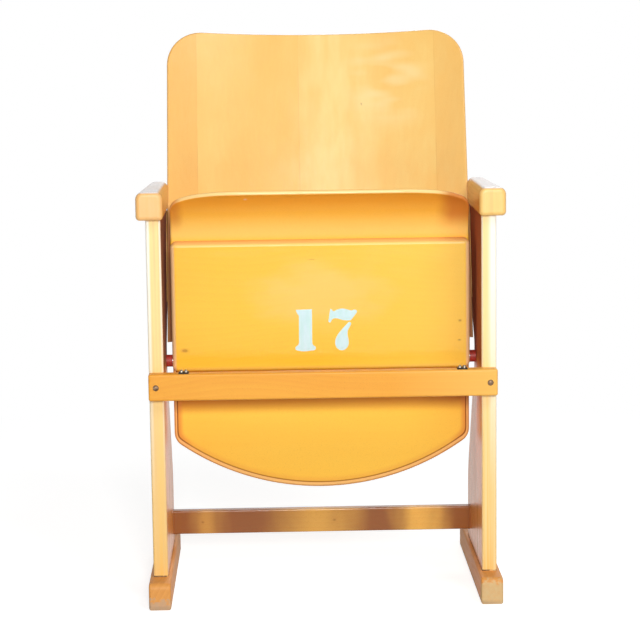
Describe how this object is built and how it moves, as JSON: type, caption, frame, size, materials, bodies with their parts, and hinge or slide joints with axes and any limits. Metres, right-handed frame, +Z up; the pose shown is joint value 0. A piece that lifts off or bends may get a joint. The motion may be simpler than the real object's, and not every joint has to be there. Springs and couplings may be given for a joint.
{
  "type": "tip-up cinema seat",
  "caption": "Wooden cinema seat on runner feet: waisted side panels with armrests, a bent plywood back and a bent plywood seat that folds down on pivot pins.",
  "frame": {"origin": "on the floor, midway between the two feet and midway along them", "axes": "+Z up, +Y to the rear, towards the back, +X to the right as seen from in front"},
  "size_m": [0.5444, 0.36, 0.8494],
  "materials": {
    "honey_beech": "honey-coloured gloss lacquer on solid beech",
    "bent_plywood": "honey-coloured gloss lacquer on bent beech plywood",
    "plain_beech": "unlacquered beech",
    "black_rubber": "matt",
    "red_fibre": "satin",
    "bare_steel": "turned",
    "dark_steel": "blackened steel",
    "bright_screws": "polished, slightly worn"
  },
  "bodies": {
    "frame": {"left_foot": "honey_beech", "right_foot": "honey_beech", "left_side_panel": "honey_beech", "right_side_panel": "honey_beech", "left_armrest": "honey_beech", "right_armrest": "honey_beech", "front_rail": "honey_beech", "stretcher": "honey_beech", "left_back_cleat": "honey_beech", "right_back_cleat": "honey_beech", "backrest": "bent_plywood", "foot_dowels": "plain_beech", "armrest_dowels": "plain_beech", "left_stop_peg": "plain_beech", "right_stop_peg": "plain_beech", "left_stop_buffer": "black_rubber", "right_stop_buffer": "black_rubber", "left_pivot_sleeve": "bare_steel", "right_pivot_sleeve": "bare_steel", "left_rest_plate": "dark_steel", "right_rest_plate": "dark_steel", "rest_plate_screws": "bright_screws", "front_rail_screws": "bright_screws", "stretcher_screws": "bright_screws", "back_cleat_screws": "bright_screws", "backrest_screws": "bright_screws"},
    "seat": {"seat_shell": "bent_plywood", "seat_board": "honey_beech", "seat_screws": "bright_screws", "left_pivot_pin": "bare_steel", "right_pivot_pin": "bare_steel", "left_pivot_bush": "red_fibre", "right_pivot_bush": "red_fibre"}
  },
  "joints": [
    {"name": "seat_pivot", "type": "hinge", "parent": "frame", "child": "seat", "pos_m": [0, -0.044, 0.3545], "axis": [1, 0, 0], "range_deg": [0, 82.5]}
  ]
}
